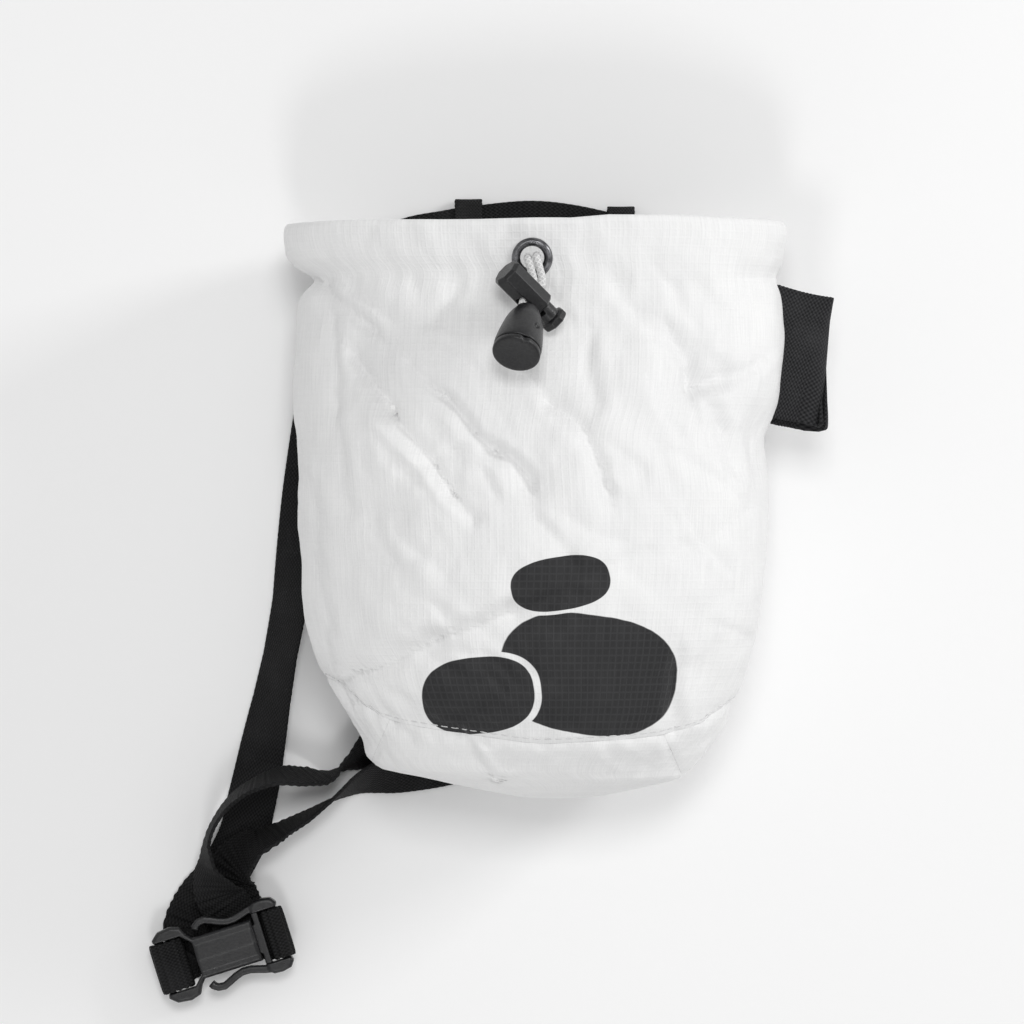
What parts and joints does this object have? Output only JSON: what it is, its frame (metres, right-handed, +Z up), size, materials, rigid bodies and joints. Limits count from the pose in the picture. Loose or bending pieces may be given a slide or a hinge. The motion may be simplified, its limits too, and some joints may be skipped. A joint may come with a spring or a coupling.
{
  "type": "climbing chalk bag with waist belt",
  "caption": "White ripstop chalk bag lying on its back: stiffened round mouth, drawcord with cord lock through an eyelet, elastic brush loop and a black webbing waist belt with a side-release buckle.",
  "frame": {"origin": "middle of the underside of the whole object's box, on the surface that the bag lies on", "axes": "+X runs across the bag towards the brush loop, +Y along the bag from its base towards the mouth, +Z up from the surface, out of the bag's front"},
  "size_m": [0.2014, 0.2398, 0.1038],
  "materials": {
    "ripstop": "matte off-white ripstop cloth",
    "webbing": "black ribbed polyester webbing",
    "elastic": "black knitted elastic",
    "cord": "white braided cord",
    "gunmetal": "polished gunmetal plating",
    "black_plastic": "black satin moulded plastic"
  },
  "bodies": {
    "chalk_bag": {"rim_collar": "ripstop", "bag_body": "ripstop", "base_panel": "ripstop", "base_gusset_left": "ripstop", "base_gusset_right": "ripstop", "brush_loop": "elastic", "belt_loop_left": "webbing", "belt_loop_right": "webbing", "eyelet": "gunmetal", "drawcord_left": "cord", "drawcord_right": "cord", "cord_lock_barrel": "black_plastic", "cord_end_bell": "black_plastic", "cord_end_cap": "black_plastic", "waist_belt": "webbing", "buckle_socket": "black_plastic", "buckle_plug": "black_plastic"},
    "plunger": {"cord_lock_plunger": "black_plastic"}
  },
  "joints": [
    {"name": "plunger_press", "type": "slide", "parent": "chalk_bag", "child": "plunger", "axis": [-0.6717, 0.6572, 0.342], "range_m": [0, 0.003], "stiffness_N_per_m": 300, "springref_m": -0.001}
  ]
}
